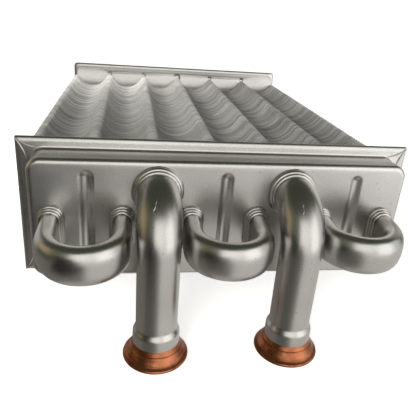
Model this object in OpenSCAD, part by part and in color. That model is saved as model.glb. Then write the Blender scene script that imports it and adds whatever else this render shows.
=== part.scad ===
// Bithermic heat exchanger: six flattened tubes, each with a second tube inside it,
// run through a pack of thin fins between two end plates. A pressed pan behind each
// end plate is a water box for the outer tubes. The inner tubes pass through the pans
// and are joined outside them by U-bends.
// +X is to the right, +Y runs along the tubes to the back, +Z is up.
// The origin is under the middle of the pack, in the plane of the four pipe ends.

/* [Core] */
// Distance between neighbouring tubes
tube_pitch = 30; // [27:0.5:36]
// Free length of the core between the two end plates
core_len = 234; // [120:1:320]
// Height of the tube axes above the pipe ends
tube_z = 51.4; // [46:0.2:70]
// Distance from one fin to the next
fin_pitch = 2.75; // [2.25:0.25:6]
// Thickness of a fin
fin_t = 0.4; // [0.3:0.05:0.6]
// Height of the fin ridges above the tube axes
ridge_rise = 27.3; // [25:0.1:29]
// Height of the fin edge above the tube axes, in the hollow over a tube
hollow_rise = 17.8; // [15:0.1:19]
// Depth of the fin ridges below the tube axes
ridge_drop = 22; // [20:0.1:23]
// Depth of the fin edge below the tube axes, in the hollow under a tube
hollow_drop = 16; // [14:0.1:18]
// Radius of the rounded fin ridges
ridge_r = 2.6; // [1.5:0.1:3.5]

/* [Tubes] */
// Diameter of the outer tube before it is flattened
outer_round_d = 20; // [19:0.5:21]
// Width of the flattened outer tube
outer_w = 12.5; // [11.5:0.1:13.5]
// Wall of the outer tube
outer_wall = 0.8; // [0.6:0.1:1]
// Diameter of the inner tube before it is flattened
inner_round_d = 14; // [12.5:0.5:14.5]
// Width of the flattened inner tube
inner_w = 7.6; // [7:0.1:8.4]
// Wall of the inner tube and of its bends
inner_wall = 0.9; // [0.7:0.1:1.2]

/* [End plates and water boxes] */
// Width by which the end plates stand out past the fins
plate_over = 0.5; // [0.5:0.1:3]
// Height of the end plates above the tube axes
plate_above = 36; // [33:0.2:40]
// Height of the end plates below the tube axes
plate_below = 29.4; // [27:0.2:34]
// Thickness of the tube plate
plate_t = 1; // [0.8:0.1:1.5]
// Thickness of the pressed pan
pan_t = 1; // [0.8:0.1:1.2]
// Depth of the pan in front of its flange
pan_depth = 14; // [10:0.5:20]
// Width of the flange round the pan
flange_w = 5.6; // [5:0.1:6.5]
// Radius of the pan's four corners
pan_corner_r = 6; // [4:0.5:8]
// Radius of the edge between the pan's face and its sides
pan_edge_r = 1.8; // [1.5:0.1:2.4]
// Radius of the hollow between the pan and its flange
pan_foot_r = 1.5; // [1:0.1:2]
// Outer radius of the rolled rim
rim_roll_r = 2.6; // [2:0.1:3]
// Corner radius of the tube plate
plate_corner_r = 5; // [3:0.5:8]
// Height of the drawn necks that grip the outer tubes
neck_h = 2; // [1:0.1:4]
// Width of the stiffening grooves pressed into the pan
groove_w = 5; // [3:0.1:6]
// Depth of the stiffening grooves
groove_depth = 1.1; // [0.6:0.1:1.4]
// Plain face left above and below a groove
groove_end_gap = 4; // [3:0.5:10]
// Thickness of the baffle in the front water box
baffle_t = 1; // [0.8:0.1:2]
// Radius of the round dimples over the fin ridges
dimple_r = 1.8; // [1:0.1:2.2]
// Radius of the larger dimple in the middle
mid_dimple_r = 2.8; // [1.5:0.1:3.2]
// Depth of the dimples
dimple_depth = 0.5; // [0.2:0.1:0.6]

/* [U-bends] */
// Length of an inner tube outside the pan
inner_out = 4; // [2:0.5:6]
// Distance from the pan's face to the start of the bend
bend_stub = 12; // [8:0.5:14]
// Height of one ring of the stepped ferrules
ferrule_step_h = 1.5; // [1.2:0.1:2]
// Width by which each ferrule ring stands out past the next
ferrule_step_w = 0.5; // [0.3:0.05:0.7]
// Flat width of the last ferrule ring, inside its rounded edge
ferrule_rim_w = 0.2; // [0.1:0.05:0.4]

/* [Heating pipes] */
// Outer diameter of the heating pipes
pipe_d = 18; // [15:0.5:19]
// Wall of all the pipes
pipe_wall = 1; // [0.8:0.1:1.2]
// Radius of the elbows, to the middle of the pipe
elbow_r = 17.5; // [15:0.5:20]
// Straight pipe between the pan's face and the elbow
elbow_stub = 3.5; // [3.5:0.5:8]
// Width of the collar round the foot of an elbow
collar_w = 2; // [1.4:0.1:3]
// Height of that collar
collar_h = 2.2; // [1.5:0.1:2.6]
// Plain face left between the collar and the edge of the pan
collar_gap = 0; // [0:0.1:3]

/* [Pipe ends] */
// Outer diameter of the tap water pipes
tap_d = 15; // [12:0.5:17]
// Width by which a pipe's end is widened on each side
socket_grow = 1.2; // [1.2:0.1:2]
// Length of the cone where a pipe widens
socket_cone = 3.6; // [2:0.1:6]
// Length of the widened pipe end
socket_len = 4.4; // [3:0.1:8]
// Height of the bare copper below a pipe
copper_h = 8.2; // [7.5:0.1:12]
// Width by which the flared rim of a heating connector stands out
flare_w = 4.2; // [3.2:0.1:6]
// Width by which the flared rim of a tap water connector stands out
tap_flare_w = 3.3; // [3.2:0.1:5]
// Thickness of a flared rim
rim_t = 1.2; // [0.8:0.1:1.4]
// Radius of the hollow above a flared rim
cove_r = 2.2; // [1.5:0.1:2.4]
// Radius of the bead round a connector
bead_r = 1.3; // [0.8:0.1:1.5]
// Height of the bead above the rim's face
bead_z = 4.8; // [4.5:0.1:5.2]
// Radius of the fine groove over the bead
score_r = 0.3; // [0.2:0.05:0.4]
// Height of that groove above the rim's face
score_z = 6.6; // [6.5:0.1:7]
// Depth and width of the opened mouth
mouth = 2.9; // [1:0.1:3]

/* [Hidden] */
$fn = 96;
TUBES = 6;
FERRULE_STEPS = 3;

FINISH = "silver";
COPPER = "chocolate";

// A tube keeps its perimeter when it is flattened from round to an oval.
function flattened(round_d, w) = w + PI * (round_d - w) / 2;
outer_h = flattened(outer_round_d, outer_w);
inner_h = flattened(inner_round_d, inner_w);

// Planes across the tubes, as distances from the middle of the core
plate_y = core_len / 2;
flange_y = plate_y + plate_t + pan_t;
face_y = flange_y + pan_depth;

// Fins: ridges and hollows are arcs that run into each other, so the distance
// between their centres follows from the pitch and the depth of the wave. A
// ridge laps over its neighbours by arc_lap, so that the arcs cross.
arc_lap = 0.01;
fin_w = TUBES * tube_pitch;
fin_count = floor((core_len - fin_pitch) / fin_pitch) + 1;
function arc_sum(depth) = (pow(tube_pitch / 2, 2) + pow(depth, 2)) / (2 * depth);

// End plates, and the pan that stands inside the flange
plate_w = fin_w + 2 * plate_over;
plate_h = plate_above + plate_below;
plate_mid_z = tube_z + (plate_above - plate_below) / 2;
pan_w = plate_w - 2 * flange_w;
pan_h = plate_h - 2 * flange_w;

// Heating pipes stand one pitch from the middle, between two tubes each, with
// their collars just under the upper edge of the pan.
pipe_x = tube_pitch;
pipe_y = face_y + elbow_stub + elbow_r;
flow_z = tube_z + plate_above - flange_w - pan_edge_r - collar_gap - collar_w - pipe_d / 2;
flare_r = pipe_d / 2 + socket_grow + flare_w;

// Tap water pipes reach out as far behind as the heating pipes do in front.
tap_x = (TUBES - 1) * tube_pitch / 2;
tap_flare_r = tap_d / 2 + socket_grow + tap_flare_w;
tap_y = pipe_y + flare_r - tap_flare_r;

bend_r = tube_pitch / 2;
function tube_x(i) = (i - (TUBES + 1) / 2) * tube_pitch;
function gap_x(i) = (tube_x(i) + tube_x(i + 1)) / 2;

// Outline helpers
module oval(w, h) {
    square([w, h - w], center = true);
    for (s = [-1, 1]) translate([0, s * (h - w) / 2]) circle(d = w);
}

module oval_ring(w, h, wall) {
    difference() {
        oval(w, h);
        oval(w - 2 * wall, h - 2 * wall);
    }
}

module ring(d, wall) {
    difference() {
        circle(d = d);
        circle(d = d - 2 * wall);
    }
}

module rounded(w, h, r) {
    square([w - 2 * r, h], center = true);
    square([w, h - 2 * r], center = true);
    for (x = [-1, 1], y = [-1, 1])
        translate([x * (w / 2 - r), y * (h / 2 - r)]) circle(r = r);
}

// An outline in X and Z, extruded from y0 back to y1
module along_y(y0, y1) {
    translate([0, y0, 0]) rotate([90, 0, 0]) mirror([0, 0, 1])
        linear_extrude(height = y1 - y0) children();
}

// A shape made for the front end, turned to the back end
module at_end(rear) {
    if (rear) mirror([0, 1, 0]) children();
    else children();
}

module each_tube() {
    for (i = [1:TUBES]) translate([tube_x(i), tube_z]) children();
}

// Fin pack: one stamped sheet, repeated
module wave(rise_ridge, rise_hollow) {
    depth = rise_ridge - rise_hollow;
    sum = arc_sum(depth);
    hollow_r = sum - ridge_r;
    shoulder = rise_ridge - ridge_r + (sum - depth) * ridge_r / sum;
    difference() {
        translate([-fin_w / 2, 0]) square([fin_w, shoulder]);
        for (i = [1:TUBES]) translate([tube_x(i), rise_hollow + hollow_r]) circle(r = hollow_r);
    }
    for (i = [1:TUBES - 1])
        translate([gap_x(i), rise_ridge - ridge_r - arc_lap]) circle(r = ridge_r + arc_lap);
}

module fin_outline() {
    difference() {
        translate([0, tube_z]) {
            wave(ridge_rise, hollow_rise);
            mirror([0, 1]) wave(ridge_drop, hollow_drop);
        }
        each_tube() oval(outer_w, outer_h);
    }
}

module fin_pack() {
    color("gray")
    for (i = [0:fin_count - 1]) {
        y = (i - (fin_count - 1) / 2) * fin_pitch;
        along_y(y - fin_t / 2, y + fin_t / 2) fin_outline();
    }
}

// Tubes
module outer_tube(i) {
    half = plate_y + plate_t + neck_h;
    color(COPPER)
    translate([tube_x(i), 0, tube_z])
        along_y(-half, half) oval_ring(outer_w, outer_h, outer_wall);
}

module inner_tube(i) {
    half = face_y + inner_out;
    color(COPPER)
    translate([tube_x(i), 0, tube_z])
        along_y(-half, half) oval_ring(inner_w, inner_h, inner_wall);
}

// Tube plate: flat sheet with drawn necks on the water side and dimples on the fin side
module tube_plate(rear) {
    w = plate_w - 2 * rim_roll_r;
    h = plate_h - 2 * rim_roll_r;
    dimple_z = tube_z + ridge_rise + dimple_r;
    color(FINISH)
    at_end(rear) difference() {
        union() {
            along_y(-plate_y - plate_t, -plate_y) translate([0, plate_mid_z])
                rounded(w, h, plate_corner_r);
            along_y(-plate_y - plate_t - neck_h, -plate_y)
                each_tube() oval(outer_w + 2 * plate_t, outer_h + 2 * plate_t);
        }
        along_y(-plate_y - plate_t - neck_h, -plate_y) each_tube() oval(outer_w, outer_h);
        along_y(-plate_y - dimple_depth, -plate_y) {
            for (i = [1:TUBES - 1])
                if (i != TUBES / 2) translate([gap_x(i), dimple_z]) circle(r = dimple_r);
            translate([0, dimple_z]) circle(r = mid_dimple_r);
        }
    }
}

// Section of the pressed sheet, from the pan's face, round its edge, down its side
// and out through the foot into the flange; x is the distance from the corner's
// centre and y is the height above the flange
module pan_section() {
    square_top = pan_depth - pan_t;
    translate([0, square_top]) square([pan_corner_r - pan_edge_r, pan_t]);
    translate([pan_corner_r - pan_edge_r, pan_depth - pan_edge_r]) intersection() {
        ring(2 * pan_edge_r, pan_t);
        square(pan_edge_r);
    }
    translate([pan_corner_r - pan_t, pan_foot_r])
        square([pan_t, pan_depth - pan_edge_r - pan_foot_r]);
    translate([pan_corner_r + pan_foot_r, pan_foot_r]) intersection() {
        ring(2 * (pan_foot_r + pan_t), pan_t);
        translate([-pan_foot_r - pan_t, -pan_foot_r - pan_t]) square(pan_foot_r + pan_t);
    }
}

// The pan lies flat here, with its face up
module pan_walls() {
    side_x = pan_w / 2 - pan_corner_r;
    side_y = pan_h / 2 - pan_corner_r;
    for (q = [0:3]) {
        along = q % 2 == 0 ? side_y : side_x;
        across = q % 2 == 0 ? side_x : side_y;
        rotate(90 * q) {
            translate([across, along, 0]) rotate_extrude(angle = 90) pan_section();
            translate([across, along, 0]) rotate([90, 0, 0])
                linear_extrude(height = 2 * along) pan_section();
        }
    }
    translate([0, 0, pan_depth - pan_t]) linear_extrude(height = pan_t)
        square([2 * side_x, 2 * side_y], center = true);
}

// The rim curls back along all four sides, with mitred corners
module rim_block(inset) {
    r = rim_roll_r - inset;
    deep = rim_roll_r + pan_t;
    intersection() {
        rotate([90, 0, 90]) translate([0, 0, -plate_w / 2]) linear_extrude(height = plate_w)
            rim_outline(plate_h - 2 * inset, r, deep, inset);
        rotate([90, 0, 0]) translate([0, 0, -plate_h / 2]) linear_extrude(height = plate_h)
            rim_outline(plate_w - 2 * inset, r, deep, inset);
    }
}

module rim_outline(w, r, deep, inset) {
    translate([-w / 2, -deep]) square([w, deep - inset - r]);
    translate([-w / 2 + r, -deep]) square([w - 2 * r, deep - inset]);
    for (s = [-1, 1]) translate([s * (w / 2 - r), -inset - r]) circle(r = r);
}

module flange() {
    hole_w = pan_w + 2 * pan_foot_r;
    hole_h = pan_h + 2 * pan_foot_r;
    deep = rim_roll_r + 2 * pan_t;
    difference() {
        rim_block(0);
        rim_block(pan_t);
        translate([0, 0, -deep]) linear_extrude(height = deep + pan_t)
            rounded(hole_w, hole_h, pan_corner_r + pan_foot_r);
        translate([-plate_w, -plate_h, -rim_roll_r - deep])
            cube([2 * plate_w, 2 * plate_h, deep]);
    }
}

// A groove is the mark of a round bar pressed into the sheet.
module groove_bar(grow) {
    bar_r = (pow(groove_w / 2, 2) + pow(groove_depth, 2)) / (2 * groove_depth);
    r = bar_r + grow;
    half = pan_h / 2 - groove_end_gap - groove_w / 2;
    translate([0, 0, pan_depth + bar_r - groove_depth]) {
        rotate([90, 0, 0]) cylinder(r = r, h = 2 * half, center = true);
        for (s = [-1, 1]) translate([0, s * half, 0]) sphere(r = r);
    }
}

// A groove lies between the two tubes that a front U-bend joins
module pan_grooves(grow) {
    for (i = [1:2:TUBES - 1]) translate([gap_x(i), 0, 0]) groove_bar(grow);
}

module cover_blank() {
    room = groove_depth + 2 * pan_t;
    difference() {
        union() {
            flange();
            pan_walls();
            intersection() {
                pan_grooves(pan_t);
                translate([-pan_w / 2 + pan_corner_r, -pan_h / 2 + pan_edge_r, pan_depth - room])
                    cube([pan_w - 2 * pan_corner_r, pan_h - 2 * pan_edge_r, room]);
            }
        }
        pan_grooves(0);
    }
}

module cover(rear) {
    color(FINISH)
    at_end(rear) difference() {
        translate([0, -flange_y, plate_mid_z]) rotate([90, 0, 0]) cover_blank();
        along_y(-face_y - pan_t, -flange_y - pan_t) each_tube() oval(inner_w, inner_h);
        if (!rear)
            for (s = [-1, 1]) translate([s * pipe_x, -flange_y, flow_z])
                rotate([90, 0, 0]) cylinder(d = pipe_d, h = pan_depth + pan_t);
    }
}

// Baffle between the two halves of the front water box
module front_box_baffle() {
    y0 = -face_y + pan_t + groove_depth;
    color(FINISH)
    along_y(y0, -plate_y - plate_t) translate([0, plate_mid_z])
        square([baffle_t, pan_h - 2 * pan_t], center = true);
}

// A section carried round an oval: two half turns and two straight runs
module round_oval(w, h) {
    straight = h - w;
    for (s = [0, 1]) rotate(180 * s) {
        translate([0, straight / 2, 0]) rotate_extrude(angle = 180) translate([w / 2, 0]) children();
        translate([0, straight / 2, 0]) rotate([90, 0, 0])
            linear_extrude(height = straight) translate([w / 2, 0]) children();
    }
}

// Rounded rings, each narrower than the one below
module ferrule_section() {
    r = ferrule_step_h / 2;
    reach = (FERRULE_STEPS - 1) * ferrule_step_w + ferrule_rim_w;
    intersection() {
        for (k = [0:FERRULE_STEPS - 1]) {
            translate([-r, k * ferrule_step_h])
                square([r + reach - k * ferrule_step_w, ferrule_step_h]);
            translate([reach - k * ferrule_step_w, (k + 0.5) * ferrule_step_h]) circle(r = r);
        }
        square([reach + r, FERRULE_STEPS * ferrule_step_h]);
    }
}

module ferrule(i, rear) {
    color(FINISH)
    at_end(rear) translate([tube_x(i), -face_y, tube_z])
        rotate([90, 0, 0]) round_oval(inner_w, inner_h) ferrule_section();
}

// U-bend from tube i to the next tube
module u_bend(i, rear) {
    start = face_y + inner_out;
    turn = face_y + bend_stub;
    color(FINISH)
    at_end(rear) translate([gap_x(i), 0, tube_z]) {
        for (s = [-1, 1]) translate([s * bend_r, 0, 0])
            along_y(-turn, -start) oval_ring(inner_w, inner_h, inner_wall);
        translate([0, -turn, 0]) rotate(180) rotate_extrude(angle = 180)
            translate([bend_r, 0]) oval_ring(inner_w, inner_h, inner_wall);
    }
}

// Pipe wall that widens into a socket; x is the radius and y the height
module pipe_end_section(d, top) {
    wide = copper_h + socket_len;
    narrow = wide + socket_cone;
    ro = d / 2;
    so = ro + socket_grow;
    polygon([
        [so - pipe_wall, copper_h], [so, copper_h], [so, wide], [ro, narrow], [ro, top],
        [ro - pipe_wall, top], [ro - pipe_wall, narrow], [so - pipe_wall, wide]
    ]);
}

module elbow(side) {
    color(FINISH)
    translate([side * pipe_x, 0, 0]) {
        translate([0, 0, flow_z])
            along_y(-face_y - elbow_stub, -face_y + pan_t) ring(pipe_d, pipe_wall);
        translate([0, -face_y - elbow_stub, flow_z - elbow_r]) rotate([90, 0, -90])
            rotate_extrude(angle = 90) translate([elbow_r, 0]) ring(pipe_d, pipe_wall);
        translate([0, -pipe_y, 0]) rotate_extrude()
            pipe_end_section(pipe_d, flow_z - elbow_r);
    }
}

// Collar brazed round the foot of an elbow, with a rounded edge and a braze fillet on it
module collar(side) {
    edge_r = collar_h / 2;
    color(FINISH)
    translate([side * pipe_x, -face_y, flow_z]) rotate([90, 0, 0]) rotate_extrude()
        translate([pipe_d / 2, 0]) {
            square([collar_w - edge_r, collar_h]);
            translate([collar_w - edge_r, edge_r]) intersection() {
                circle(r = edge_r);
                translate([0, -edge_r]) square([edge_r, 2 * edge_r]);
            }
            translate([0, collar_h]) intersection() {
                circle(r = collar_w / 2);
                square(collar_w);
            }
        }
}

// Copper connector: a sleeve in the pipe's socket, a fine groove, a bead and a flared
// rim; x is the radius and y the height, and r is the pipe's outer radius
module connector_section(r, rim) {
    so = r + socket_grow;
    bore = so - 2 * pipe_wall;
    difference() {
        union() {
            translate([bore, 0]) square([pipe_wall, copper_h + socket_len - pipe_wall]);
            translate([bore, 0]) square([so - bore, copper_h]);
            translate([so, bead_z]) circle(r = bead_r);
            translate([bore, 0]) square([rim - rim_t / 2 - bore, rim_t]);
            translate([rim - rim_t / 2, rim_t / 2]) circle(d = rim_t);
            translate([so, rim_t]) difference() {
                square(cove_r);
                translate([cove_r, cove_r]) circle(r = cove_r);
            }
        }
        polygon([
            [bore - mouth, -rim_t], [bore + mouth, -rim_t], [bore + mouth, 0],
            [bore, mouth], [bore - mouth, mouth]
        ]);
        translate([so, score_z]) circle(r = score_r);
    }
}

module flow_connection(side) {
    color(COPPER)
    translate([side * pipe_x, -pipe_y, 0]) rotate_extrude() connector_section(pipe_d / 2, flare_r);
}

module tap_connection(side) {
    color(COPPER)
    translate([side * tap_x, tap_y, 0]) rotate_extrude() connector_section(tap_d / 2, tap_flare_r);
}

// Tap water pipe: an upright pipe with a domed end that the oval tube enters from the side
module tap_pipe(side) {
    narrow = copper_h + socket_len + socket_cone;
    top = tube_z + inner_h / 2;
    start = face_y + inner_out;
    color(FINISH)
    translate([side * tap_x, 0, 0]) {
        difference() {
            union() {
                translate([0, tap_y, narrow]) cylinder(d = tap_d, h = top - narrow);
                translate([0, tap_y, top]) sphere(d = tap_d);
                translate([0, 0, tube_z]) along_y(start, tap_y) oval(inner_w, inner_h);
            }
            translate([0, tap_y, narrow - pipe_wall])
                cylinder(d = tap_d - 2 * pipe_wall, h = top - narrow + pipe_wall);
            translate([0, tap_y, top]) sphere(d = tap_d - 2 * pipe_wall);
            translate([0, 0, tube_z]) along_y(start - inner_wall, tap_y)
                oval(inner_w - 2 * inner_wall, inner_h - 2 * inner_wall);
        }
        translate([0, tap_y, 0]) rotate_extrude() pipe_end_section(tap_d, narrow);
    }
}

tube_plate(false);  // front_tube_plate
tube_plate(true);  // rear_tube_plate
cover(false);  // front_cover
cover(true);  // rear_cover
front_box_baffle();
fin_pack();
for (i = [1:TUBES]) {
    outer_tube(i);
    inner_tube(i);
    ferrule(i, false);
    ferrule(i, true);
}
for (i = [1:TUBES / 2]) {
    u_bend(2 * i - 1, false);
}
for (i = [1:TUBES / 2 - 1]) {
    u_bend(2 * i, true);
}
elbow(-1);  // flow_elbow
elbow(1);  // return_elbow
collar(-1);  // flow_collar
collar(1);  // return_collar
flow_connection(-1);  // flow_connector
flow_connection(1);  // return_connector
tap_pipe(-1);  // inlet_pipe
tap_pipe(1);  // outlet_pipe
tap_connection(-1);  // inlet_connector
tap_connection(1);  // outlet_connector
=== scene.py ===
# The looks of a bithermic heat exchanger: flattened copper tubes through a pack of waved
# fins, a pressed water box on each end, U-bends for the tap water and two pipes for the
# heating water. All that shows is coated in silver paint but for the mouths of the pipes.
import math

import bmesh
import bpy
from mathutils import Matrix, Vector, noise


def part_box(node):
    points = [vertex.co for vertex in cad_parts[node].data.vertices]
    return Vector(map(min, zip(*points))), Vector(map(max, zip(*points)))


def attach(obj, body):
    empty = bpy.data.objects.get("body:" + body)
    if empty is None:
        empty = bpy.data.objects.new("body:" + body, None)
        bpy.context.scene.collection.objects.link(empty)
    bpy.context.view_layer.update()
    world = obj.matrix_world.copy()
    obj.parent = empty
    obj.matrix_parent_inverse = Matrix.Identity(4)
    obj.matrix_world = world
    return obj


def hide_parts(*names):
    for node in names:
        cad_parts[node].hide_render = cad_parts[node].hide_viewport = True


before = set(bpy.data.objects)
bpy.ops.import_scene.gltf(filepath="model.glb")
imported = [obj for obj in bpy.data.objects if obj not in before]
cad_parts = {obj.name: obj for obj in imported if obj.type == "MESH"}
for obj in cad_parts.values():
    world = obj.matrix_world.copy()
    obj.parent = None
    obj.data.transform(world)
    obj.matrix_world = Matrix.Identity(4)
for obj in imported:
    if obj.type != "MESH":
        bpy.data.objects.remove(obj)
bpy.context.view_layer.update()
MM = 0.001

# The tubes: six flattened copper tubes carry the heating water, and a narrower tube
# inside each of them carries the tap water. They are drawn tube, bare inside the pack.


class Link:
    """A shader socket that takes part in plain arithmetic."""

    def __init__(self, tree, socket=None):
        self.tree = tree
        self.socket = socket

    def node(self, kind, settings, sockets, out=0):
        """A new node: its settings are set first, then the values or links of its sockets."""
        made = self.tree.nodes.new(kind)
        for name, value in settings.items():
            setattr(made, name, value)
        for key, value in sockets.items():
            if isinstance(value, Link):
                self.tree.links.new(value.socket, made.inputs[key])
            else:
                made.inputs[key].default_value = value
        return Link(self.tree, made.outputs[out] if made.outputs else None)

    def maths(self, operation, *values):
        return self.node("ShaderNodeMath", {"operation": operation}, dict(enumerate(values)))

    def __add__(self, other):
        return self.maths("ADD", self, other)

    def __mul__(self, other):
        return self.maths("MULTIPLY", self, other)

    def __sub__(self, other):
        return self.maths("SUBTRACT", self, other)

    def __rsub__(self, other):
        return self.maths("SUBTRACT", other, self)

    __radd__ = __add__
    __rmul__ = __mul__

    def between(self, low, high):
        """0 below low, 1 above high and a smooth step from one to the other."""
        return self.node(
            "ShaderNodeMapRange",
            {"interpolation_type": "SMOOTHSTEP"},
            {"Value": self, "From Min": low, "From Max": high},
        )

    def mix(self, colour, other):
        """colour where this is 0, other where it is 1."""
        sockets = {0: self, 6: colour, 7: other}
        return self.node("ShaderNodeMix", {"data_type": "RGBA"}, sockets, out=2)


def tone(red, green, blue):
    return (red, green, blue, 1.0)


def new_material(name):
    """An empty material, and a Link that adds nodes to it."""
    material = bpy.data.materials.new(name)
    material.use_nodes = True
    material.node_tree.nodes.clear()
    return material, Link(material.node_tree)


def place_on(tree):
    """Where a point lies on its piece, in metres."""
    return tree.node("ShaderNodeTexCoord", {}, {}, out="Object")


def cloud(tree, place, scale, detail=2.0, roughness=0.5):
    sockets = {"Vector": place, "Scale": scale, "Detail": detail, "Roughness": roughness}
    return tree.node("ShaderNodeTexNoise", {}, sockets)


def bumped(tree, height, distance, strength=1.0):
    sockets = {"Height": height, "Distance": distance, "Strength": strength}
    return tree.node("ShaderNodeBump", {}, sockets)


def surface(tree, **sockets):
    """The shader and the output, from the shader's sockets by their names."""
    named = {key.replace("_", " "): value for key, value in sockets.items()}
    shader = tree.node("ShaderNodeBsdfPrincipled", {}, named)
    tree.node("ShaderNodeOutputMaterial", {}, {"Surface": shader})


def drawn_copper():
    """Dull red-brown copper with darker stains from the brazing oven."""
    material, tree = new_material("drawn_copper")
    place = place_on(tree)
    stain = cloud(tree, place, 55, detail=4).between(0.35, 0.7)
    draw = cloud(tree, place, 900, detail=1)
    surface(
        tree,
        Base_Color=stain.mix(tone(0.52, 0.24, 0.14), tone(0.20, 0.085, 0.05)),
        Roughness=0.34 + draw * 0.16,
        Metallic=1.0,
        Normal=bumped(tree, draw, 0.03 * MM),
    )
    return material


TUBES = 6
copper = drawn_copper()
for number in range(1, TUBES + 1):
    for kind in ("outer_tube", "inner_tube"):
        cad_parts[f"{kind}_{number}"].data.materials.clear()
        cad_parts[f"{kind}_{number}"].data.materials.append(copper)

# The end plates and the baffle: flat sheet, brazed to the outer tubes at their drawn
# necks. The whole unit is sprayed after brazing, so they have its satin silver coat.


def silver_paint(name, dark, light, grain=1.0, rough=0.25):
    """Satin aluminium paint: a fine flake grain, slow drifts of tone and a few specks."""
    material, tree = new_material(name)
    place = place_on(tree)
    drift = cloud(tree, place, 38, detail=3).between(0.3, 0.7)
    flake = cloud(tree, place, 2300, detail=2, roughness=0.7)
    ripple = cloud(tree, place, 260, detail=1)
    dots = tree.node("ShaderNodeTexVoronoi", {}, {"Vector": place, "Scale": 210.0})
    speck = 1 - dots.between(0.05, 0.09)
    base = drift.mix(dark, light)
    flaked = (flake.between(0.25, 0.75) * 0.35 * grain).mix(base, tone(0.72, 0.71, 0.69))
    surface(
        tree,
        Base_Color=(speck * 0.45).mix(flaked, tone(0.2, 0.19, 0.17)),
        Roughness=rough + flake * 0.1,
        Metallic=1.0,
        Normal=bumped(tree, flake * (0.3 * grain) + ripple * 0.7, 0.035 * MM),
    )
    return material


def coat(node, material):
    """Gives a node of the frame its finish."""
    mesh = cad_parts[node].data
    mesh.materials.clear()
    mesh.materials.append(material)


paint = silver_paint("silver_paint", tone(0.46, 0.445, 0.425), tone(0.54, 0.525, 0.505))
sheet_paint = silver_paint("sheet_paint", tone(0.46, 0.445, 0.425), tone(0.53, 0.515, 0.495),
                           grain=2.2, rough=0.27)
for node in ("front_tube_plate", "rear_tube_plate", "front_box_baffle"):
    coat(node, sheet_paint)

# The fins: one stamped sheet with a waved edge, 85 times over, threaded on the tubes and
# brazed there. They are thin and bend easily, so their edges lean and open in places.


def middle(node):
    low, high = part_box(node)
    return (low + high) / 2


def extent(node):
    low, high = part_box(node)
    return high - low


def finish(name, bm, material, nodes, crease=32, wall=0.0):
    """Makes a piece of the finished bmesh; wall is the sheet's thickness, put on inwards."""
    bmesh.ops.remove_doubles(bm, verts=bm.verts, dist=0.002 * MM)
    bmesh.ops.recalc_face_normals(bm, faces=bm.faces)
    mesh = bpy.data.meshes.new(name)
    bm.to_mesh(mesh)
    bm.free()
    piece = bpy.data.objects.new(name, mesh)
    bpy.context.collection.objects.link(piece)
    if wall:
        sheet = piece.modifiers.new("sheet", "SOLIDIFY")
        sheet.thickness = wall
        sheet.offset = -1
        sheet.use_even_offset = True
        ready = piece.evaluated_get(bpy.context.evaluated_depsgraph_get())
        mesh = bpy.data.meshes.new_from_object(ready)
        piece.modifiers.clear()
        piece.data = mesh
    mesh.shade_smooth()
    mesh.set_sharp_from_angle(angle=math.radians(crease))
    mesh.materials.append(material)
    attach(piece, "root")
    if nodes:
        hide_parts(*nodes)
    return piece


def edges_of(verts):
    return list({edge for vert in verts for edge in vert.link_edges})


def oblong(bm, w, h, r, place=Matrix(), steps=8):
    """A loop of edges: w by h with corners of radius r, in the XY plane moved by place."""
    sides = 4 * steps
    turn = Matrix.Rotation(math.pi / sides, 4, "Z")
    verts = bmesh.ops.create_circle(bm, segments=sides, radius=r, matrix=turn)["verts"]
    for vert in verts:
        vert.co.x += math.copysign(w / 2 - r, vert.co.x)
        vert.co.y += math.copysign(h / 2 - r, vert.co.y)
    bmesh.ops.transform(bm, matrix=place, verts=verts)
    return edges_of(verts)


def front(x, z, y):
    """A place whose XY plane faces forwards and whose Z axis comes out of the front."""
    return Matrix.Translation((x, y, z)) @ Matrix.Rotation(math.pi / 2, 4, "X")


TUBE_X = [middle(f"inner_tube_{number}").x for number in range(1, TUBES + 1)]
TUBE_Z = middle("inner_tube_1").z
PITCH = TUBE_X[1] - TUBE_X[0]
OUTER = extent("outer_tube_1")
INNER = extent("inner_tube_1")

fin_t = 0.4 * MM
fin_pitch = 2.75 * MM
ridge_r = 3.1 * MM
band = 4.0 * MM
fins_low, fins_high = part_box("fin_pack")
fin_count = round((fins_high.y - fins_low.y) / fin_pitch) + 1
RIDGE_TOP = fins_high.z
HOLLOW_TOP = TUBE_Z + 17.8 * MM
RIDGE_FOOT = fins_low.z
HOLLOW_FOOT = TUBE_Z - 16 * MM


def wave(x, ridge, hollow):
    """Height of a fin's edge at x. Arcs of hollows and ridges run into each other."""
    side = math.copysign(1, ridge - hollow)
    depth = abs(ridge - hollow)
    both = (PITCH**2 / 4 + depth**2) / (2 * depth)
    hollow_r = both - ridge_r
    from_tube = (x - TUBE_X[0] + PITCH / 2) % PITCH - PITCH / 2
    reach = PITCH / 2 - PITCH / 2 * ridge_r / both
    if abs(from_tube) <= reach or x < TUBE_X[0] or x > TUBE_X[-1]:
        dx = min(abs(from_tube), reach)
        return hollow + side * (hollow_r - math.sqrt(hollow_r**2 - dx**2))
    dx = PITCH / 2 - abs(from_tube)
    return ridge - side * (ridge_r - math.sqrt(ridge_r**2 - dx**2))


def fin_columns():
    """Where a fin's edge has its points: close together on the ridges."""
    depth = RIDGE_TOP - HOLLOW_TOP
    reach = PITCH / 2 * (1 - ridge_r * 2 * depth / (PITCH**2 / 4 + depth**2))
    columns = [fins_low.x, fins_high.x]
    for x in TUBE_X:
        columns += [x + reach * math.sin(math.radians(a)) for a in range(-90, 91, 20)]
    for x in TUBE_X[:-1]:
        columns += [x + PITCH / 2 + 0.8 * ridge_r * step / 2 for step in range(-2, 3)]
    return sorted(columns)


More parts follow.
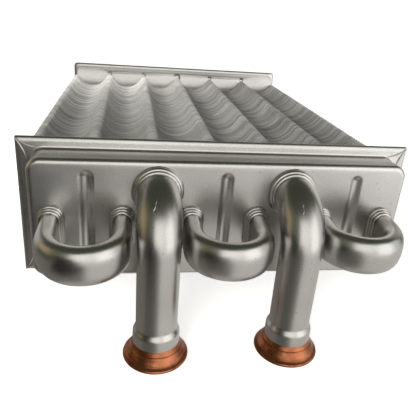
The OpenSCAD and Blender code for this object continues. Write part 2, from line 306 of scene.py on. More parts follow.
def one_fin():
    """The stamped sheet, with its tube holes, lying in the plane Y = 0."""
    bm = bmesh.new()
    columns = fin_columns()
    last = len(columns) - 1
    verts = bmesh.ops.create_grid(bm, x_segments=last, y_segments=2, size=1)["verts"]
    for vert in verts:
        x = columns[round((vert.co.x + 1) / 2 * last)]
        top = wave(x, RIDGE_TOP, HOLLOW_TOP)
        heights = (wave(x, RIDGE_FOOT, HOLLOW_FOOT), top - band, top)
        vert.co = Vector((x, 0, heights[round(vert.co.y) + 1]))
    low_cells = [f for f in bm.faces if min(vert.co.z for vert in f.verts) < TUBE_Z]
    web = bmesh.ops.dissolve_faces(bm, faces=low_cells)["region"][0]
    around = list(web.edges)
    bmesh.ops.delete(bm, geom=[web], context="FACES_ONLY")
    for x in TUBE_X:
        place = front(x, TUBE_Z, 0)
        around += oblong(bm, OUTER.x, OUTER.z, OUTER.x / 2, place, steps=5)
    bmesh.ops.triangle_fill(bm, edges=around, use_beauty=True)
    flat = bmesh.ops.extrude_face_region(bm, geom=bm.faces[:], use_keep_orig=True)
    moved = [item for item in flat["geom"] if isinstance(item, bmesh.types.BMVert)]
    bmesh.ops.translate(bm, verts=moved, vec=(0, fin_t, 0))
    bmesh.ops.recalc_face_normals(bm, faces=bm.faces)
    # The edges take the second material, whose lighter tones paint a highlight on them.
    for face in bm.faces:
        face.material_index = 1 if abs(face.normal.y) < 0.5 else 0
    mesh = bpy.data.meshes.new("fin")
    bm.to_mesh(mesh)
    bm.free()
    return mesh


slow_lean = 0.55 * MM
own_lean = 0.7 * MM
knock_reach = 0.8 * fin_pitch
KNOCKS = (  # X and Y of a knocked fin, how far it opened along its edge, and by how much
    (26 * MM, 14 * MM, 5 * MM, 2.7 * MM), (27 * MM, -30 * MM, 6 * MM, 2.8 * MM),
    (54 * MM, 9 * MM, 5 * MM, 2.6 * MM), (58 * MM, 14 * MM, 4 * MM, 2.6 * MM),
    (59 * MM, -17 * MM, 5 * MM, 2.7 * MM), (64 * MM, -5 * MM, 4 * MM, 2.6 * MM),
    (-33 * MM, -45 * MM, 6 * MM, -1.8 * MM), (60 * MM, 20 * MM, 3 * MM, -2.0 * MM),
)


def lean(x, y, z):
    """How far a fin's edge is bent along the pack, by handling; only the edge moves."""
    edge = wave(x, RIDGE_TOP, HOLLOW_TOP)
    if z < edge - band / 2:
        return 0.0
    slow = noise.noise(Vector((x * 24, y * 16, 1.7))) * slow_lean
    own = noise.noise(Vector((x * 26, y * 240, 8.1))) * own_lean
    knock = sum(much * math.exp(-((x - bx) / across) ** 2 - ((y - by) / knock_reach) ** 2)
                for bx, by, across, much in KNOCKS)
    return slow + own + knock


def fin_stack():
    """All the fins in one mesh, each bent a little differently."""
    bm = bmesh.new()
    sheet = one_fin()
    per_fin = len(sheet.vertices)
    for index in range(fin_count):
        y = fins_low.y + index * fin_pitch
        bm.from_mesh(sheet)
        bm.verts.ensure_lookup_table()
        for vert in bm.verts[index * per_fin:]:
            vert.co.y += y + lean(vert.co.x, y, vert.co.z)
    return bm


def fin_coat(name, dark, light):
    """Thin silver paint, uneven from fin to fin. Light is painted in: a painted highlight on the
    left of each ridge and painted shade on its right, as if lit from the left, and painted shade
    that darkens the fins towards the right of the pack."""
    material, tree = new_material(name)
    place = place_on(tree)
    x = tree.node("ShaderNodeSeparateXYZ", {}, {0: place}, out=0)
    # Painted light on the ridges: a painted highlight on the left flank of each, painted shade on
    # the right.
    painted_flank_light = x.maths("SINE", (x - TUBE_X[0]) * (2 * math.pi / PITCH) - 0.15 * math.pi)
    # Painted shade: the fins get darker towards the right of the pack.
    painted_right_shade = x.between(-PITCH, 2.5 * PITCH)
    along = tree.node("ShaderNodeMapping", {}, {"Vector": place, "Scale": (16, 330, 16)})
    each = cloud(tree, along, 1, detail=0).between(0.36, 0.64)
    flake = cloud(tree, place, 2300, detail=1)
    surface(
        tree,
        Base_Color=(each * 0.45 + painted_flank_light * 0.3 + 0.42 - painted_right_shade * 0.45).mix(dark, light),
        Roughness=0.38 + flake * 0.12,
        Metallic=0.3,
        Normal=bumped(tree, flake, 0.01 * MM),
    )
    return material


fin_paint = fin_coat("fin_paint", tone(0.21, 0.21, 0.196), tone(0.52, 0.515, 0.495))
# The fin edges get a lighter copy of the fin paint: a painted highlight where the edges catch the
# light.
lit_fin_edge = fin_coat("lit_fin_edge", tone(0.3, 0.298, 0.285), tone(0.78, 0.77, 0.75))
fins = finish("fins", fin_stack(), fin_paint, ["fin_pack"], crease=20)
fins.data.materials.append(lit_fin_edge)

# The water boxes: a pan pressed from one sheet closes each end. Its flange is rolled back
# over the edge of the end plate, with a pinched mitre at each corner, and three upright
# grooves stiffen its face.


def loft(bm, loops):
    """Skin through loops of edges, one after the other."""
    for one, other in zip(loops, loops[1:]):
        bmesh.ops.bridge_loops(bm, edges=one + other)


BOX = extent("front_cover")
BOX_Z = middle("front_cover").z
FACE_Y = -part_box("front_cover")[0].y
pan_depth = 14 * MM
FLANGE_Y = FACE_Y - pan_depth
sheet_t = 1 * MM
flange_w = 5.6 * MM
roll_r = 2.4 * MM
roll_depth = 1.6 * MM
foot_r = 1.3 * MM
edge_r = 2.1 * MM
pan_narrower = 0.8 * MM
pan_taller = 0.6 * MM
pan_corner_r = 6 * MM
face_border = 0.6 * MM
mitre_r = 0.7 * MM
rear_mitre_r = 3 * MM
hem_corner_r = 4.5 * MM
groove_w = 5.8 * MM
groove_depth = 1.3 * MM
groove_half = 22.8 * MM
GROOVE = ((1.3, 0), (1.12, 0), (0.95, 0.08), (0.66, 0.5), (0.34, 0.92), (0.12, 1))
apart = 0.02 * MM  # loops that lie in one plane can't be bridged
PIPE_X = middle("return_elbow").x
PIPE_Z = middle("return_collar").z
socket_grow = 1.2 * MM
PIPE_R = extent("return_elbow").x / 2 - socket_grow


def at_end(rear):
    """A place on the front flange, or the same one turned to the rear flange."""
    place = front(0, BOX_Z, -FLANGE_Y)
    return Matrix.Rotation(math.pi, 4, "Z") @ place if rear else place


def quarter(start, stop, count):
    """Angles in radians from start to stop, in count equal steps."""
    return [math.radians(start + (stop - start) * step / count) for step in range(count + 1)]


def pan_profile(sharp):
    """Inset, height, corner radius and place of the pressing, from its rolled edge to its
    face. The place is 0 on the roll and 1 on the pan, which is pressed a little narrower."""
    profile = []
    for a in quarter(-90, 90, 12):
        inset = roll_r * (1 - math.cos(a))
        corner = sharp + (hem_corner_r - sharp) * min(0, math.sin(a)) ** 2
        profile.append((inset, roll_depth * (math.sin(a) - 1), corner, 0))
    foot = flange_w - foot_r
    for a in quarter(0, 90, 5):
        profile.append((foot + foot_r * math.sin(a), foot_r * (1 - math.cos(a)), None, 1))
    for a in quarter(0, 90, 6):
        inset = flange_w + edge_r * (1 - math.cos(a))
        profile.append((inset, pan_depth - edge_r * (1 - math.sin(a)), None, 1))
    profile.append((flange_w + edge_r + face_border, pan_depth + apart, None, 1))
    return profile


def groove(bm, x, place):
    """One pressed groove, as loops of a share of its width and depth that sink into the face.
    Gives back the loop on the face."""
    loops = []
    for share, depth in GROOVE:
        width = groove_w * share
        height = 2 * groove_half - groove_w + width
        level = pan_depth - groove_depth * depth + apart * (share > 1.2)
        loops.append(oblong(bm, width, height, width / 2,
                            place @ Matrix.Translation((x, 0, level)), steps=6))
    loft(bm, loops)
    bmesh.ops.triangle_fill(bm, edges=loops[-1], use_beauty=True)
    return loops[0]


def water_box(rear):
    """The pressed pan with its flange. The front one has holes for the heating pipes."""
    bm = bmesh.new()
    place = at_end(rear)
    loops = []
    for inset, level, corner, pan in pan_profile(rear_mitre_r if rear else mitre_r):
        r = corner or pan_corner_r + flange_w - inset
        loops.append(oblong(bm, BOX.x - 2 * (inset + pan * pan_narrower),
                            BOX.z - 2 * (inset - pan * pan_taller), r,
                            place @ Matrix.Translation((0, 0, level)), steps=8))
    loft(bm, loops)
    rims = list(loops[-1])
    for x in (-2 * PITCH, 0, 2 * PITCH):
        rims += groove(bm, x, place)
    for x in TUBE_X:
        centre = Matrix.Translation((x, TUBE_Z - BOX_Z, pan_depth))
        rims += oblong(bm, INNER.x, INNER.z, INNER.x / 2, place @ centre, steps=5)
    if not rear:
        for x in (-PIPE_X, PIPE_X):
            centre = Matrix.Translation((x, PIPE_Z - BOX_Z, pan_depth))
            rims += oblong(bm, 2 * PIPE_R, 2 * PIPE_R, PIPE_R, place @ centre)
    bmesh.ops.triangle_fill(bm, edges=rims, use_beauty=True)
    return bm


for end in ("front", "rear"):
    finish(f"{end}_water_box", water_box(end == "rear"), sheet_paint,
           [f"{end}_cover"], wall=sheet_t)

crease_r = 0.42 * MM


def ribbon(path, radius, grow, name, material):
    """A bead along a path of points, thin at both ends."""
    bm = bmesh.new()
    loops = []
    for index, point in enumerate(path):
        ahead = path[min(index + 1, len(path) - 1)] - path[max(index - 1, 0)]
        share = index / (len(path) - 1)
        r = radius * (0.2 + 0.8 * math.sin(math.pi * share) ** grow)
        turn = ahead.to_track_quat("Z", "Y").to_matrix().to_4x4()
        loops.append(oblong(bm, 2 * r, 2 * r, r, Matrix.Translation(point) @ turn, steps=3))
    loft(bm, loops)
    bmesh.ops.triangle_fill(bm, edges=loops[0], use_beauty=True)
    bmesh.ops.triangle_fill(bm, edges=loops[-1], use_beauty=True)
    return finish(name, bm, material, [])


def corner_fold(side, up):
    """Two fine creases in the flange, where the sheet was gathered at a corner."""
    corner = Vector((side * BOX.x / 2, -FLANGE_Y, BOX_Z + up * BOX.z / 2))
    creases = {"top": ((0.4, 0.5), (4.6, 4.4), (10.5, 4.9)),
               "side": ((0.5, 0.9), (3.5, 4.6), (4.7, 10.5))}
    for name, spots in creases.items():
        start, knee, end = (corner - MM * Vector((side * dx, 0.05, up * dz)) for dx, dz in spots)
        path = []
        for step in range(13):
            t = step / 12
            path.append(start * (1 - t) ** 2 + knee * (2 * t * (1 - t)) + end * t**2)
        where = ("left" if side < 0 else "right") + ("_low" if up < 0 else "_high")
        ribbon(path, crease_r, 0.6, f"crease_{where}_{name}", sheet_paint)


for side in (-1, 1):
    for up in (-1, 1):
        corner_fold(side, up)

# The rear end plate shows above the fins: slightly dished by the brazing, with a dimple
# over the end of each ridge. The hem of the water box folds over its edge.

plate_t = 1 * MM
neck_h = 2 * MM
dish = 1.9 * MM
plate_corner_r = 5 * MM
dimple_r = 2.2 * MM
mid_dimple_r = 3.3 * MM
dimple_above = 0.6 * MM
DIMPLE = ((1.15, 0), (1, 0.1), (0.75, 0.9), (0.4, 1.2))


def smoothly(t):
    """0 up to 0, 1 from 1 on and a smooth step between."""
    t = min(1.0, max(0.0, t))
    return t * t * (3 - 2 * t)


def end_plate():
    """The sheet with its drawn necks and dimples, then dished. A dimple is a row of loops,
    each with its share of the radius and its depth in millimetres."""
    bm = bmesh.new()
    low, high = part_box("rear_tube_plate")
    place = front(0, (low.z + high.z) / 2, low.y)
    rims = oblong(bm, high.x - low.x, high.z - low.z, plate_corner_r, place)
    for x in TUBE_X:
        neck = [oblong(bm, OUTER.x, OUTER.z, OUTER.x / 2, front(x, TUBE_Z, low.y + back), steps=5)
                for back in (0, plate_t + neck_h)]
        loft(bm, neck)
        rims += neck[0]
    for gap in range(1, TUBES):
        x = (TUBE_X[gap - 1] + TUBE_X[gap]) / 2
        radius = mid_dimple_r if gap == TUBES // 2 else dimple_r
        loops = []
        for share, depth in DIMPLE:
            r = radius * share
            spot = front(x, RIDGE_TOP + dimple_above, low.y + depth * MM)
            loops.append(oblong(bm, 2 * r, 2 * r, r, spot, steps=5))
        loft(bm, loops)
        bmesh.ops.triangle_fill(bm, edges=loops[-1], use_beauty=True)
        rims += loops[0]
    bmesh.ops.triangle_fill(bm, edges=rims, use_beauty=True)
    for step in range(1, 9):
        level = HOLLOW_TOP + (high.z - HOLLOW_TOP) * step / 9
        bmesh.ops.bisect_plane(bm, geom=bm.verts[:] + bm.edges[:] + bm.faces[:],
                               plane_co=(0, 0, level), plane_no=(0, 0, 1))
    for vert in bm.verts:
        rise = (vert.co.z - HOLLOW_TOP) / (high.z - HOLLOW_TOP)
        vert.co.y -= dish * (1 - smoothly(rise))
    return bm


finish("rear_end_plate", end_plate(), sheet_paint, ["rear_tube_plate"],
       wall=plate_t)

# The ferrules: a turned ring with three rounded steps is brazed round each tap water tube
# where it leaves the water box.

rings = 3
step_h = 1.5 * MM
step_w = 0.5 * MM
rim_w = 0.2 * MM


def ferrule(x, rear):
    """Rounded steps that get smaller outwards, closed round the tube."""
    bm = bmesh.new()
    place = at_end(rear) @ Matrix.Translation((x, TUBE_Z - BOX_Z, pan_depth))
    loops = []
    for ring in range(rings):
        reach = rim_w + (rings - 1 - ring) * step_w
        for a in quarter(-90, 90, 6):
            grow = reach + step_h / 2 * math.cos(a)
            level = (ring + 0.5 + math.sin(a) / 2) * step_h
            w = INNER.x + 2 * grow
            loops.append(oblong(bm, w, INNER.z + 2 * grow, w / 2,
                                place @ Matrix.Translation((0, 0, level)), steps=8))
    for level in (rings * step_h, 0):
        loops.append(oblong(bm, INNER.x, INNER.z, INNER.x / 2,
                            place @ Matrix.Translation((0, 0, level)), steps=8))
    loft(bm, loops + loops[:1])
    return bm


for end in ("front", "rear"):
    for number, x in enumerate(TUBE_X, start=1):
        across = -x if end == "rear" else x
        finish(f"{end}_ring_{number}", ferrule(across, end == "rear"), paint,
               [f"{end}_ferrule_{number}"])

# The U-bends join each tap water tube to the next. They are the same flattened tube,
# narrow where the ferrule grips it and blown out fuller round the turn.

bend_wall = 0.9 * MM
bend_start = 4 * MM
full_w = 9.4 * MM
full_h = 16.6 * MM
gripped = 1.5 * MM
swelling = 11 * MM
squashed = 0.62
fuller = 0.2


def belly(bm, w, h, flat, place, sides=40):
    """A loop of edges between an ellipse (flat = 1) and an oblong (flat towards 0.5)."""
    verts = bmesh.ops.create_circle(bm, segments=sides, radius=1)["verts"]
    for vert in verts:
        vert.co.x = math.copysign(abs(vert.co.x) ** flat * w / 2, vert.co.x)
        vert.co.y = math.copysign(abs(vert.co.y) ** flat * h / 2, vert.co.y)
    bmesh.ops.transform(bm, matrix=place, verts=verts)
    return edges_of(verts)


def bend(x, rear, stub, sag=0.0):
    """A half turn about the middle between two tubes, on straight stubs. sag is in degrees."""
    bm = bmesh.new()
    base = at_end(rear) @ Matrix.Translation((x, TUBE_Z - BOX_Z, pan_depth))
    base = base @ Matrix.Rotation(math.radians(sag), 4, "X")
    stations = []
    straight = 6
    for step in range(straight):
        level = bend_start + (stub - bend_start) * step / straight
        stations.append((-PITCH / 2, level, 0.0))
    for a in quarter(0, 180, 28):
        stations.append((-PITCH / 2 * math.cos(a), stub + PITCH / 2 * math.sin(a), a))
    for step in reversed(range(straight)):
        level = bend_start + (stub - bend_start) * step / straight
        stations.append((PITCH / 2, level, math.pi))
    gone = [0.0]
    for one, other in zip(stations, stations[1:]):
        gone.append(gone[-1] + math.dist(one[:2], other[:2]))
    loops = []
    for (across, level, turn), run in zip(stations, gone):
        near = min(run, gone[-1] - run)
        full = smoothly((near - gripped) / swelling)
        wide = INNER.x + (full_w - INNER.x) * full
        high = INNER.z + (full_h - INNER.z) * full
        place = base @ Matrix.Translation((across, 0, level)) @ Matrix.Rotation(turn, 4, "Y")
        loops.append(belly(bm, wide, high, squashed + fuller * full, place))
    loft(bm, loops)
    return bm


rear_stub = 12 * MM
FRONT_BENDS = ((14.2 * MM, 3.2), (14.2 * MM, 1.4), (11 * MM, 0.8))  # stub and sag
for number, (stub, sag) in enumerate(FRONT_BENDS, start=1):
    x = (TUBE_X[2 * number - 2] + TUBE_X[2 * number - 1]) / 2
    finish(f"front_u_bend_{number}", bend(x, False, stub, sag), paint,
           [f"front_bend_{number}"], wall=bend_wall)
for number in (1, 2):
    x = -(TUBE_X[2 * number - 1] + TUBE_X[2 * number]) / 2
    finish(f"rear_u_bend_{number}", bend(x, True, rear_stub), paint,
           [f"rear_bend_{number}"], wall=bend_wall)

# The heating water pipes: each comes out of the front water box in the middle of the gap
# between two tubes, turns down in one bend and ends in a widened socket.

pipe_wall = 1 * MM
pipe_stub = 3.5 * MM
pipe_bend_r = 17.5 * MM
bend_squeeze = 0.06
copper_h = 8.2 * MM
socket_top = copper_h + 4.4 * MM
socket_foot = socket_top + 3.6 * MM
PIPE_Y = FACE_Y + pipe_stub + pipe_bend_r


def heating_pipe(x):
    """Out of the pan, round the bend, where it is a little wider, and down to the socket."""
    bm = bmesh.new()
    loops = []

    def add(y, z, turn, r, squeeze=0.0):
        place = Matrix.Translation((x, -y, z)) @ Matrix.Rotation(turn, 4, "X")
        wide = 2 * r * (1 + squeeze)
        loops.append(belly(bm, wide, 2 * r * (1 - squeeze / 2), 1, place, sides=56))

    add(FACE_Y - sheet_t, PIPE_Z, math.pi / 2, PIPE_R)
    for a in quarter(90, 0, 22):
        y = FACE_Y + pipe_stub + pipe_bend_r * math.cos(a)
        z = PIPE_Z - pipe_bend_r + pipe_bend_r * math.sin(a)
        add(y, z, math.pi - a, PIPE_R, bend_squeeze * math.sin(2 * a) ** 2)
    for step in range(9):
        share = step / 8
        z = socket_foot + (socket_top - socket_foot) * share
        add(PIPE_Y, z, math.pi, PIPE_R + socket_grow * smoothly(share))
    add(PIPE_Y, copper_h, math.pi, PIPE_R + socket_grow)
    loft(bm, loops)
    return bm


for name, x in (("flow", -PIPE_X), ("return", PIPE_X)):
    finish(f"{name}_pipe", heating_pipe(x), paint, [f"{name}_elbow"],
           wall=pipe_wall)
    coat(f"{name}_collar", paint)

outer_bead_off = 1.85 * MM
inner_bead_up = 2.3 * MM
outer_bead = 0.55 * MM
inner_bead = 0.65 * MM
inner_bead_off = 0.4 * MM
run_r = 0.24 * MM
run_top = 56  # degrees along the bend, as run_length; run_side is round the pipe
run_length = 15
run_side = -14


def braze(name, x, radius, bead, y):
    """An uneven ring of braze round a pipe at the face."""
    bm = bmesh.new()
    loops = []
    for step in range(96):
        turn = 2 * math.pi * step / 96
        spot = Vector((math.cos(turn), math.sin(turn), 0))
        swell = 1 + 0.35 * noise.noise(spot * 5 + Vector((x * 90, y * 50, 0)))
        at = Matrix.Rotation(turn, 4, "Z") @ Matrix.Translation((radius, 0, 0))
        r = bead * swell
        place = front(x, PIPE_Z, -y) @ at @ Matrix.Rotation(math.pi / 2, 4, "X")
        loops.append(oblong(bm, 2 * r, 2 * r, r, place, steps=2))
    loft(bm, loops + loops[:1])
    finish(name, bm, paint, [])


def on_bend(x, angle, across, r):
    """A point on the bend of a heating pipe, by its angles along the bend and round the pipe."""
    a = math.radians(angle)
    c = math.radians(across)
    reach = pipe_bend_r + r * math.cos(c)
    return Vector((x + r * math.sin(c), -(FACE_Y + pipe_stub + reach * math.cos(a)),
                   PIPE_Z - pipe_bend_r + reach * math.sin(a)))


for name, x in (("flow", -PIPE_X), ("return", PIPE_X)):
    braze(f"{name}_braze_outer", x, PIPE_R + outer_bead_off, outer_bead, FACE_Y)
    braze(f"{name}_braze_inner", x, PIPE_R + inner_bead_off, inner_bead, FACE_Y + inner_bead_up)
    run = []
    for step in range(17):
        share = step / 16
        wander = 7 * noise.noise(Vector((share * 3, x * 100, 0.5)))
        across = run_side + wander - 5 * share
        run.append(on_bend(x, run_top - run_length * share, across, PIPE_R - apart))
    ribbon(run, run_r, 0.5, f"{name}_paint_run", paint)

# The connectors: turned copper sleeves brazed into the sockets. Each has a fine groove, a
# bead and a flared rim that a clip holds. They are left bare and have browned with heat.

TAP_R = 7.5 * MM


def bare_copper():
    """Turned copper, browned in clouds, with fine lines from the lathe."""
    material, tree = new_material("bare_copper")
    place = place_on(tree)
    stain = cloud(tree, place, 150, detail=5, roughness=0.65).between(0.4, 0.7)
    turned = tree.node("ShaderNodeMapping", {}, {"Vector": place, "Scale": (60, 60, 2600)})
    lines = cloud(tree, turned, 1, detail=2)
    base = stain.mix(tone(0.45, 0.17, 0.08), tone(0.25, 0.07, 0.032))
    surface(
        tree,
        Base_Color=(lines.between(0.5, 0.75) * 0.5).mix(base, tone(0.2, 0.06, 0.03)),
        Roughness=0.32 + stain * 0.14,
        Metallic=1.0,
        Normal=bumped(tree, lines, 0.06 * MM),
    )
    return material


def connector(node, pipe_r):
    """Turned about its own axis: sleeve, cone, fine groove, low bead, groove and rim."""
    spot = middle(node)
    rim = extent(node).x / 2
    sleeve = pipe_r + socket_grow
    bore = sleeve - 2 * pipe_wall
    hip = sleeve + 0.62 * (rim - sleeve)
    outside = [
        (sleeve - pipe_wall, copper_h + 3.4 * MM), (sleeve - pipe_wall, copper_h),
        (sleeve, copper_h), (sleeve + 0.35 * MM, 7.1 * MM), (sleeve + 0.8 * MM, 6.2 * MM),
        (sleeve + 0.75 * MM, 5.95 * MM), (sleeve + 1.1 * MM, 5.7 * MM),
        (sleeve + 1.5 * MM, 5.0 * MM), (sleeve + 1.8 * MM, 4.2 * MM), (hip, 3.3 * MM),
        (hip + 0.1 * MM, 2.8 * MM), (hip - 0.15 * MM, 2.45 * MM), (hip + 0.1 * MM, 2.1 * MM),
        (rim - 0.75 * MM, 1.75 * MM),
    ]
    edge = [(rim - 0.8 * MM + 0.8 * MM * math.cos(a), 0.85 * MM + 0.85 * MM * math.sin(a))
            for a in quarter(80, -90, 7)]
    inside = [(bore + 2.9 * MM, 0.0), (bore, 2.9 * MM), (bore, copper_h + 3.4 * MM)]
    bm = bmesh.new()
    verts = [bm.verts.new((spot.x + r, spot.y, z)) for r, z in outside + edge + inside]
    edges = [bm.edges.new(pair) for pair in zip(verts, verts[1:] + verts[:1])]
    bmesh.ops.spin(bm, geom=verts + edges, axis=(0, 0, 1), cent=(spot.x, spot.y, 0),
                   angle=2 * math.pi, steps=72, use_merge=True)
    return bm


rim_copper = bare_copper()
for name in ("flow", "return"):
    finish(f"{name}_mouth", connector(f"{name}_connector", PIPE_R), rim_copper,
           [f"{name}_connector"])
for name in ("inlet", "outlet"):
    finish(f"{name}_mouth", connector(f"{name}_connector", TAP_R), rim_copper,
           [f"{name}_connector"])

# The tap water pipes stand behind the pack: an upright pipe with a domed end and a socket,
# and a flattened arm, brazed in from the side, that carries on the outermost tube.


def tap_pipe(node):
    """The upright above its connector, turned about its axis, and the arm to the tube."""
    spot = middle(node)
    top = TUBE_Z + INNER.z / 2
    profile = [(TAP_R + socket_grow, copper_h), (TAP_R + socket_grow, socket_top)]
    for step in range(1, 7):
        share = step / 6
        profile.append((TAP_R + socket_grow * (1 - smoothly(share)),
                        socket_top + (socket_foot - socket_top) * share))
    profile += [(TAP_R * math.cos(a), top + TAP_R * math.sin(a)) for a in quarter(0, 90, 12)]
    bm = bmesh.new()
    verts = [bm.verts.new((spot.x + r, spot.y, z)) for r, z in profile]
    edges = [bm.edges.new(pair) for pair in zip(verts, verts[1:])]
    bmesh.ops.spin(bm, geom=verts + edges, axis=(0, 0, 1), cent=(spot.x, spot.y, 0),
                   angle=2 * math.pi, steps=56, use_merge=True)
    base = at_end(True) @ Matrix.Translation((-spot.x, TUBE_Z - BOX_Z, pan_depth))
    loops = []
    for step in range(9):
        level = bend_start + (spot.y - FACE_Y - bend_start) * step / 8
        place = base @ Matrix.Translation((0, 0, level))
        loops.append(belly(bm, INNER.x, INNER.z, squashed, place))
    loft(bm, loops)
    return bm


for name in ("inlet", "outlet"):
    finish(f"{name}_upright", tap_pipe(f"{name}_connector"), paint,
           [f"{name}_pipe"], wall=pipe_wall)

# Where it stands: a pale round table with a raised rim, in a grey room with a broad window on the
# right, and a dark card in front on the left that only the paint mirrors: painted shade in its
# reflections. The camera is in front, above the pipes and a little to the left.

table_r = 1.0
rim_r = 0.35
rim_top = 0.55
room_r = 2.2


def stage_material(name, colour, glow):
    """A dull surface, hardly uneven, that may glow a little."""
    material, tree = new_material(name)
    fleck = cloud(tree, place_on(tree), 30)
    surface(tree, Base_Color=fleck.mix(tone(*colour), tone(*[c * 0.97 for c in colour])),
            Roughness=0.8, Emission_Color=tone(*colour), Emission_Strength=glow)
    return material


def table():
    """The paint doesn't mirror the table: it mirrors the floor of the room below."""
    bm = bmesh.new()
    bowl = [(0.0, 0.0), (table_r, 0.0)]
    for a in quarter(10, 90, 8):
        bowl.append((table_r + rim_r * math.sin(a), rim_r * (1 - math.cos(a))))
    bowl.append((table_r + rim_r, rim_top))
    verts = [bm.verts.new((r, 0, z)) for r, z in bowl]
    edges = [bm.edges.new(pair) for pair in zip(verts, verts[1:])]
    bmesh.ops.spin(bm, geom=verts + edges, axis=(0, 0, 1), cent=(0, 0, 0),
                   angle=2 * math.pi, steps=72, use_merge=True)
    bmesh.ops.remove_doubles(bm, verts=bm.verts, dist=0.0001)
    bmesh.ops.recalc_face_normals(bm, faces=bm.faces)
    mesh = bpy.data.meshes.new("table")
    bm.to_mesh(mesh)
    bm.free()
    mesh.shade_smooth()
    mesh.materials.append(stage_material("pale_table", (0.9, 0.895, 0.885), 0.7))
    obj = bpy.data.objects.new("table", mesh)
    bpy.context.collection.objects.link(obj)
    obj.visible_glossy = False


table()
AIM = Vector((0, -0.14, 0.05))


def towards(azimuth, elevation, distance):
    """A place at a distance from the front of the object. Azimuth 0 is behind it, 90 right."""
    a = math.radians(azimuth)
    e = math.radians(elevation)
    flat = Vector((math.sin(a), math.cos(a), 0)) * math.cos(e)
    return AIM + distance * (flat + Vector((0, 0, math.sin(e))))


def lamp(name, place, aim, w, h, radiance, colour, mirrored=True):
    """A flat lamp. The paint mirrors it, or else it only lights the fins and the table."""
    light = bpy.data.lights.new(name, "AREA")
    light.shape = "RECTANGLE"
    light.size = w
    light.size_y = h
    light.energy = radiance * math.pi * w * h
    light.color = colour
    obj = bpy.data.objects.new(name, light)
    obj.location = place
    obj.rotation_euler = (Vector(aim) - obj.location).to_track_quat("-Z", "Y").to_euler()
    obj.visible_camera = False
    obj.visible_glossy = mirrored
    obj.visible_diffuse = not mirrored
    bpy.context.collection.objects.link(obj)


def softbox(name, azimuth, elevation, distance, w, h, radiance, colour, mirrored=True):
    lamp(name, towards(azimuth, elevation, distance), AIM, w, h, radiance, colour, mirrored)


def patch(place, azimuth, half_across, elevation, half_up, soft):
    """1 in a patch of the room round a direction, fading to 0 over a soft border, in degrees."""
    x, y, z = (place.node("ShaderNodeSeparateXYZ", {}, {0: place}, out=axis) for axis in range(3))
    around = x.maths("ARCTAN2", x, y) * (180 / math.pi)
    flat = x.maths("SQRT", x * x + y * y)
    up = x.maths("ARCTAN2", z, flat) * (180 / math.pi)
    off = x.maths("ABSOLUTE", x.maths("WRAP", around - azimuth, 180.0, -180.0))
    high = x.maths("ABSOLUTE", up - elevation)
    inside = 1 - off.between(half_across, half_across + soft)
    return inside * (1 - high.between(half_up, half_up + soft))


# Each patch: azimuth, half the width, elevation, half the height and soft border, in degrees,
# and the colour. A later patch covers those before it.
ROOM = (
    (0, 55, 8, 12, 22, (0.62, 0.615, 0.6)),
    (-90, 100, -80, 56, 14, (0.225, 0.21, 0.19)),
    (95, 76, -80, 62, 14, (0.72, 0.7, 0.675)),
    (-128, 40, 26, 16, 10, (0.14, 0.147, 0.1)),
    (150, 30, 16, 24, 14, (1.05, 1.04, 1.02)),
    (186, 17, 22, 18, 9, (1.5, 1.48, 1.44)),
    (-140, 20, -20, 15, 9, (0.115, 0.115, 0.1)),
    (0, 180, -90, 26, 10, (0.48, 0.465, 0.445)),
    (-88, 14, 15, 10, 12, (0.5, 0.4, 0.24)),
)


def room():
    """What the paint mirrors: a bright side, dark corners and a grey floor. Not seen itself."""
    material, tree = new_material("room")
    place = place_on(tree)
    colour = tone(0.062, 0.067, 0.047)
    for spot in ROOM:
        colour = patch(place, *spot[:5]).mix(colour, tone(*spot[5]))
    surface(tree, Base_Color=tone(0, 0, 0), Roughness=1.0, Emission_Color=colour,
            Emission_Strength=1.0)
    bm = bmesh.new()
    bmesh.ops.create_uvsphere(bm, u_segments=48, v_segments=24, radius=room_r)
    bmesh.ops.reverse_faces(bm, faces=bm.faces)
    mesh = bpy.data.meshes.new("room")
    bm.to_mesh(mesh)
    bm.free()
    mesh.materials.append(material)
    shell = bpy.data.objects.new("room", mesh)
    bpy.context.collection.objects.link(shell)
    shell.visible_camera = False
    shell.visible_shadow = False


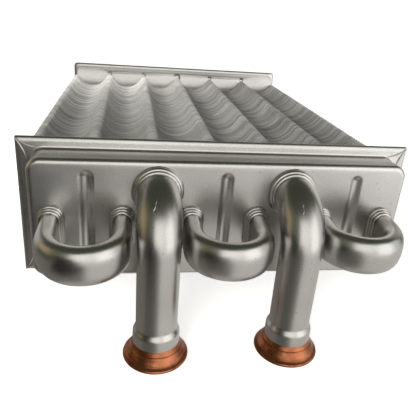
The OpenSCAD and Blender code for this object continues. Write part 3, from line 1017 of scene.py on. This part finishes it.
room()
softbox("window", 116, 12, 1.1, 1.6, 1.1, 0.75, (0.99, 1.0, 1.0))
softbox("left_lamp", -150, 26, 0.7, 0.3, 0.3, 11, (1.0, 0.99, 0.97), mirrored=False)
lamp("fin_lamp", (-0.085, 0.065, 0.16), (0.0, 0.14, 0.06), 0.06, 0.06, 27, (1.0, 0.985, 0.97),
     mirrored=False)


def reflected_shade_card():
    """A dark card in front on the left, lying on the table and up a low stand behind. Only the
    paint mirrors it: it paints reflected shade, the dark spots on the left of the bends."""
    half_wide = 0.065
    lying = 0.115
    standing = 0.085
    spot = (-0.165, -0.30, 0)
    turn = math.radians(-40)
    bm = bmesh.new()
    verts = bmesh.ops.create_grid(bm, x_segments=1, y_segments=2, size=1)["verts"]
    for vert in verts:
        vert.co = Vector((vert.co.x * half_wide, max(vert.co.y, 0) * lying,
                          max(-vert.co.y, 0) * standing + 0.001))
    place = Matrix.Translation(spot) @ Matrix.Rotation(turn, 4, "Z")
    bmesh.ops.transform(bm, matrix=place, verts=verts)
    mesh = bpy.data.meshes.new("reflected_shade_card")
    bm.to_mesh(mesh)
    bm.free()
    # A near black card: painted shade, seen only in reflections.
    mesh.materials.append(stage_material("reflected_shade_card", (0.012, 0.012, 0.01), 0.0))
    card = bpy.data.objects.new("reflected_shade_card", mesh)
    bpy.context.collection.objects.link(card)
    card.visible_camera = False
    card.visible_diffuse = False
    card.visible_shadow = False


reflected_shade_card()

world = bpy.data.worlds.new("room")
bpy.context.scene.world = world
world.use_nodes = True
world.node_tree.nodes["Background"].inputs["Color"].default_value = tone(0.04, 0.043, 0.03)

CAMERA_PLACE = (-0.04228, -0.31975, 0.1455)
camera = bpy.data.cameras.new("camera")
camera.sensor_width = 36
camera.lens = 41.04
camera.clip_start = 0.01
camera.clip_end = 10
eye = bpy.data.objects.new("camera", camera)
bpy.context.collection.objects.link(eye)
across = Vector((0.9868, -0.1444, 0.0729))
upwards = Vector((-0.0089, 0.4018, 0.9157))
backwards = across.cross(upwards)
turned = Matrix((across, upwards, backwards)).transposed().to_4x4()
eye.matrix_world = Matrix.Translation(CAMERA_PLACE) @ turned
bpy.context.scene.camera = eye
bpy.context.scene.view_settings.view_transform = "Standard"
